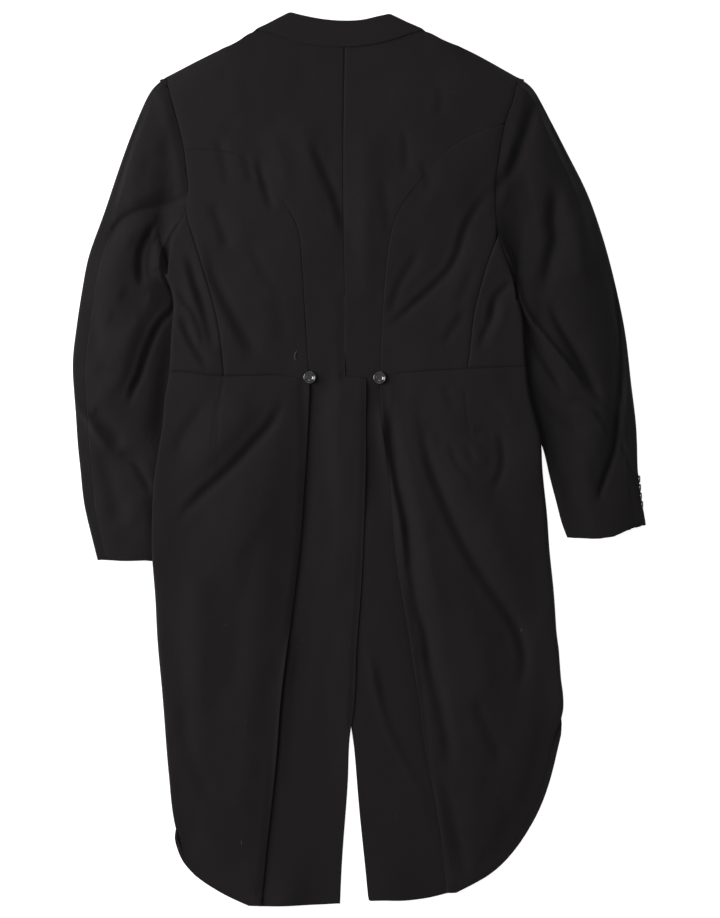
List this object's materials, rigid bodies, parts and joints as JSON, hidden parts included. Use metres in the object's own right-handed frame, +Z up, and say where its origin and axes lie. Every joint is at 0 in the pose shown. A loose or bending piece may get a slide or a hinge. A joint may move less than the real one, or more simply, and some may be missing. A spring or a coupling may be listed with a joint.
{
  "type": "tailcoat",
  "caption": "Black wool tailcoat of morning cut laid flat back up: princess seams, side pleats under waist buttons, centre vent, rounded cut-away skirts, folded collar and turned lapels",
  "frame": {"origin": "middle of the coat's bounding box, on the surface it lies on", "axes": "+Y runs from the hem to the collar, +X to the picture's right, +Z up from the surface to the back of the coat"},
  "size_m": [0.7192, 1.1248, 0.0297],
  "materials": {
    "black_wool": "matte worsted wool",
    "black_wool_lapel": "matte worsted wool, pressed",
    "black_button": "polished black"
  },
  "bodies": {
    "root": {"back_left": "black_wool", "back_right": "black_wool", "side_body_left": "black_wool", "side_body_right": "black_wool", "forepart_left": "black_wool", "forepart_right": "black_wool", "skirt_left": "black_wool", "skirt_right": "black_wool", "sleeve_top_left": "black_wool", "sleeve_top_right": "black_wool", "sleeve_under_left": "black_wool", "sleeve_under_right": "black_wool", "collar": "black_wool", "lapel_left": "black_wool_lapel", "lapel_right": "black_wool_lapel", "waist_button_left": "black_button", "waist_button_right": "black_button", "front_button": "black_button", "cuff_button_left_1": "black_button", "cuff_button_left_2": "black_button", "cuff_button_left_3": "black_button", "cuff_button_left_4": "black_button", "cuff_button_right_1": "black_button", "cuff_button_right_2": "black_button", "cuff_button_right_3": "black_button", "cuff_button_right_4": "black_button"}
  },
  "joints": []
}
